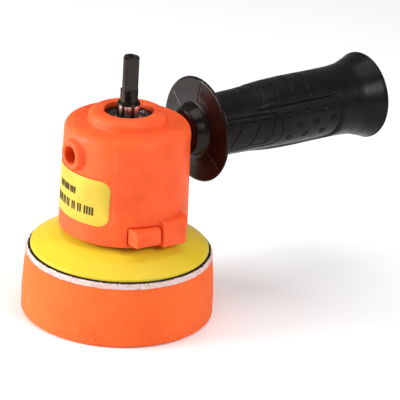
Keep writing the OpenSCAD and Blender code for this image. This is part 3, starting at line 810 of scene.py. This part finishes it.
# The sleeve's pattern, in millimetres along the handle and degrees from the top
TOP_GROOVES = [74.4, 82.2, 92.2, 102.4, 113.5]
GROOVE_END = [33, 40, 44, 46, 48]
SIDE_PANEL = {"from": 35, "to": 131, "top": 55, "bottom": 149, "corner": 8, "depth": 1.1}
DIMPLES = [(95.3, 74), (107.7, 74), (119.4, 74), (102.7, 96), (113.9, 96), (126.5, 96),
           (97.1, 118), (107.9, 118), (120.0, 118)]
INSET_OUTLINE = [(47, 61), (55, 61), (84, 65), (87.7, 70), (90.2, 84), (91, 96), (91.2, 106), (89.6, 123),
                 (87.4, 129), (84, 131), (47, 131)]
PAD_CREASE = [(76.5, 44), (74.4, 48), (74.8, 52.5), (77.5, 55), (85, 55.6), (108, 55.6), (130.5, 55.6)]
CELL_LINES = [
    [(47, 73), (61.5, 71.5)], [(63.6, 71.5), (73.8, 72.5)], [(76, 72.5), (84.6, 74)],
    [(62.8, 72), (63, 83), (60.8, 95), (58, 117), (57.4, 122)],
    [(75.4, 74), (74.6, 86), (72.4, 105), (69.9, 124)],
    [(85.6, 74), (85.1, 90), (83.6, 108), (81.2, 122)],
    [(47, 122), (57, 122)], [(60, 123), (69.4, 123)], [(72, 123), (81, 122.5)],
]
GRIP_SCALE = 19.3
LINE_DEPTH, LINE_HALF = 0.9, 0.32
GROOVE_DEPTH, GROOVE_HALF = 0.85, 0.36


def smooth_step(value, low, high):
    t = np.clip((value - low) / (high - low), 0, 1)
    return t * t * (3 - 2 * t)


def line_distance(x, s, points):
    """Distance from each (x, s) to a polyline whose points are (millimetres, degrees)."""
    best = np.full(x.shape, 1e9)
    flat = [(px, math.radians(pa) * GRIP_SCALE) for px, pa in points]
    for (ax, ay), (bx, by) in zip(flat, flat[1:]):
        dx, dy = bx - ax, by - ay
        t = np.clip(((x - ax) * dx + (s - ay) * dy) / (dx * dx + dy * dy), 0, 1)
        best = np.minimum(best, np.hypot(x - ax - t * dx, s - ay - t * dy))
    return best


def curved(points, steps=6):
    """A smooth curve through the points."""
    if len(points) < 3:
        return points
    ends = [points[0]] + list(points) + [points[-1]]
    out = []
    for p0, p1, p2, p3 in zip(ends, ends[1:], ends[2:], ends[3:]):
        for i in range(steps):
            t = i / steps
            out.append(tuple(
                b + 0.5 * t * (c - a + t * (2 * a - 5 * b + 4 * c - d + t * (3 * b - a - 3 * c + d)))
                for a, b, c, d in zip(p0, p1, p2, p3)))
    return out + [points[-1]]


def grip_relief(x, degrees):
    """How far the sleeve is cut below its plain outline, in millimetres, at x and at degrees from the top."""
    s = np.radians(degrees) * GRIP_SCALE
    p = SIDE_PANEL
    mid_x, half_x = (p["from"] + p["to"]) / 2, (p["to"] - p["from"]) / 2
    top, bottom = math.radians(p["top"]) * GRIP_SCALE, math.radians(p["bottom"]) * GRIP_SCALE
    mid_s, half_s = (top + bottom) / 2, (bottom - top) / 2
    qx = np.abs(x - mid_x) - half_x + p["corner"]
    qs = np.abs(s - mid_s) - half_s + p["corner"]
    outside = beyond(qx, qs) - p["corner"]
    fade = smooth_step(x, 68, 96)
    depth = p["depth"] * fade * (1 - smooth_step(outside, -0.35, 2.6))
    rim = np.exp(-((outside + 0.25) / 0.33) ** 2) * 0.65 * smooth_step(x, 129, 131)
    crease = np.exp(-(line_distance(x, s, curved(PAD_CREASE)) / LINE_HALF) ** 2) * GROOVE_DEPTH
    depth = depth + rim + crease
    for start, stop in zip(TOP_GROOVES, GROOVE_END):
        drift = start - 2 * smooth_step(degrees, 8, 48)
        cut = np.exp(-((x - drift) / GROOVE_HALF) ** 2) * GROOVE_DEPTH
        depth = depth + cut * (1 - smooth_step(degrees, stop - 3, stop + 3))
        cut_low = np.exp(-((x - start) / GROOVE_HALF) ** 2) * GROOVE_DEPTH
        depth = depth + cut_low * smooth_step(degrees, 160, 164)
    for cx, ca in DIMPLES:
        away = np.hypot(x - cx, s - math.radians(ca) * GRIP_SCALE)
        petals = 1 + 0.18 * np.cos(6 * np.arctan2(s - math.radians(ca) * GRIP_SCALE, x - cx))
        ring = np.exp(-((away - 1.55 * petals) / 0.36) ** 2) * 0.9
        depth = depth + ring - 0.35 * np.exp(-(away / 0.75) ** 2)
    outline = line_distance(x, s, curved(INSET_OUTLINE))
    depth = depth + np.exp(-(outline / LINE_HALF) ** 2) * LINE_DEPTH
    for line in CELL_LINES:
        depth = depth + np.exp(-(line_distance(x, s, curved(line)) / LINE_HALF) ** 2) * LINE_DEPTH
    return depth


def grip_shape(radius, along, angle):
    degrees = np.degrees(angle)
    mirrored = np.minimum(degrees, 360 - degrees)
    x = along / MM
    outer = (radius > 0.0155) & (x < GRIP_END / MM - 1)
    return radius - np.where(outer, grip_relief(x, mirrored), 0) * MM, along


def add_grip():
    """The sleeve: a palm swell, a flare with a sharp rim, and the pattern cut into its outside."""
    start, end = GRIP_START, GRIP_END
    plain = [(0.016, 0), (0.0169, 0.9), (0.0172, 13.1), (0.0177, 28.9), (0.0185, 36.5), (0.0191, 44.5),
             (0.0195, 58.5), (0.0194, 76.5), (0.0195, 90.5), (0.0198, 95.5), (0.0204, 100.5), (0.0215, 104.5),
             (0.0226, 108)]
    flared = [(a, start + b * MM) for a, b in curved(plain, 5)]
    lip = [(0.0236, end - 2.2 * MM, 0), (0.0243, end - 0.8 * MM, 0.0005), (0.0240, end - 0.1 * MM, 0.0004),
           (0.0225, end, 0.0004), (0.0150, end, 0.0008), (0.0146, end - 0.5 * MM, 0.0004),
           (0.0, end - 0.5 * MM, 0)]
    inner = [(0.0, TUBE_END + 0.2 * MM), (0.01205, TUBE_END + 0.2 * MM), (0.01205, start + 0.1 * MM)]
    line = divided(inner, 4 * MM)
    line += divided([line[-1], Vector((0.0157, start)), Vector(flared[0])], 0.6 * MM)[1:]
    line += divided([Vector(p) for p in flared], 0.28 * MM)[1:]
    line += divided([line[-1]] + [Vector(p) for p in rounded(lip, 5)], 0.6 * MM)[1:]
    grip = turned("grip_sleeve", line, 520, "housing", "black_rubber", along_x=True, centre=(0, HANDLE_Z),
                  shape=grip_shape)
    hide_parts("handle_grip")


add_guard()
add_grip()


# ------------------------------------------------------------------ lock spring

def add_spring():
    """The coil behind the lock button, with its turns a little closer together in the middle."""
    low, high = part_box("lock_spring")
    wire = 0.35 * MM
    coil_r = (high.x - low.x) / 2 - wire
    turns, per_turn, sides = 5, 28, 10
    mid = (low + high) / 2
    start, length = low.y + wire, high.y - low.y - 2 * wire
    points, faces = [], []
    count = turns * per_turn
    for i in range(count + 1):
        share = i / count
        a = TAU * turns * share
        ease = share + 0.045 * math.sin(TAU * share)
        out = Vector((math.cos(a), 0, math.sin(a)))
        centre = Vector((mid.x, start + length * ease, mid.z)) + out * coil_r
        for k in range(sides):
            b = TAU * k / sides
            points.append(centre + wire * (math.cos(b) * out + math.sin(b) * Vector((0, 1, 0))))
    for i in range(count):
        for k in range(sides):
            a, b = i * sides + k, i * sides + (k + 1) % sides
            faces.append((a, b, b + sides, a + sides))
    faces.append(tuple(range(sides))[::-1])
    faces.append(tuple(range(count * sides, (count + 1) * sides)))
    spring = finish_piece("lock_coil", mesh_from("lock_coil", points, faces), "lock", "zinc_steel")
    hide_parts("lock_spring")
    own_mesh(spring)


add_spring()


# ------------------------------------------------------------------ finishes of the metal parts that stay

def dress(node, slot, edge):
    """The record's finish on a CAD node, with its sharp edges broken by a small bevel."""
    part = NODES[node]
    part.data.materials.clear()
    part.data.materials.append(SLEEVE_STEEL if node == "shaft_sleeve" else FINISHES[slot])
    weld = part.modifiers.new("weld", "WELD")
    weld.merge_threshold = 1e-6
    bevel = part.modifiers.new("bevel", "BEVEL")
    bevel.width = edge
    bevel.segments = 2
    bevel.limit_method = "ANGLE"
    bevel.angle_limit = math.radians(35)


BROKEN_EDGE = {"drive_shaft": 0.28 * MM}
REPLACED = {"housing_shell", "lock_button", "foam_pad", "loop_cloth", "hook_sheet", "backing_plate",
            "hand_guard", "handle_tube", "handle_grip", "lock_spring"}
for subpart in frame["record"]["subparts"]:
    if subpart["node"] not in REPLACED:
        dress(subpart["node"], subpart["material_slot"], BROKEN_EDGE.get(subpart["node"], 0.12 * MM))


# ------------------------------------------------------------------ floor and light

def add_floor():
    mesh = bpy.data.meshes.new("floor")
    half = 6.0
    corners = [(-half, -half, 0), (half, -half, 0), (half, half, 0), (-half, half, 0)]
    mesh.from_pydata(corners, [], [(0, 1, 2, 3)])
    floor = bpy.data.objects.new("floor", mesh)
    floor.location.z = cad_low.z - 0.0002
    bpy.context.scene.collection.objects.link(floor)
    f = Finish("pale_floor", (0.93, 0.93, 0.93), 0.75)
    f.set("Base Color", f.mixed(f.ranged(f.noise(3, 3), 0.3, 0.7), (0.92, 0.92, 0.92), (0.94, 0.94, 0.94)))
    f.set("Specular IOR Level", 0.1)
    mesh.materials.append(f.material)


TARGET = Vector((0.03, 0, 0.07))


def add_softbox(name, place, size, power):
    lamp = bpy.data.lights.new(name, "AREA")
    lamp.shape = "RECTANGLE"
    lamp.size, lamp.size_y = size
    lamp.energy = power
    box = bpy.data.objects.new(name, lamp)
    bpy.context.scene.collection.objects.link(box)
    box.location = TARGET + Vector(place)
    box.rotation_euler = (-Vector(place)).to_track_quat("-Z", "Y").to_euler()


def add_world():
    world = bpy.data.worlds.new("studio")
    world.use_nodes = True
    world.node_tree.nodes["Background"].inputs["Color"].default_value = (1, 1, 1, 1)
    world.node_tree.nodes["Background"].inputs["Strength"].default_value = 0.25
    bpy.context.scene.world = world


add_floor()
add_world()
add_softbox("key_left", (-1.15, 0.62, 0.34), (1.0, 0.8), 28)
add_softbox("front", (0.30, -1.35, 0.92), (0.5, 0.5), 14)
add_softbox("fill_right", (1.2, -0.9, 0.6), (0.8, 0.8), 1.5)
add_softbox("top", (0.0, 0.05, 1.4), (1.3, 1.1), 10.5)
bpy.context.scene.view_settings.view_transform = "Standard"
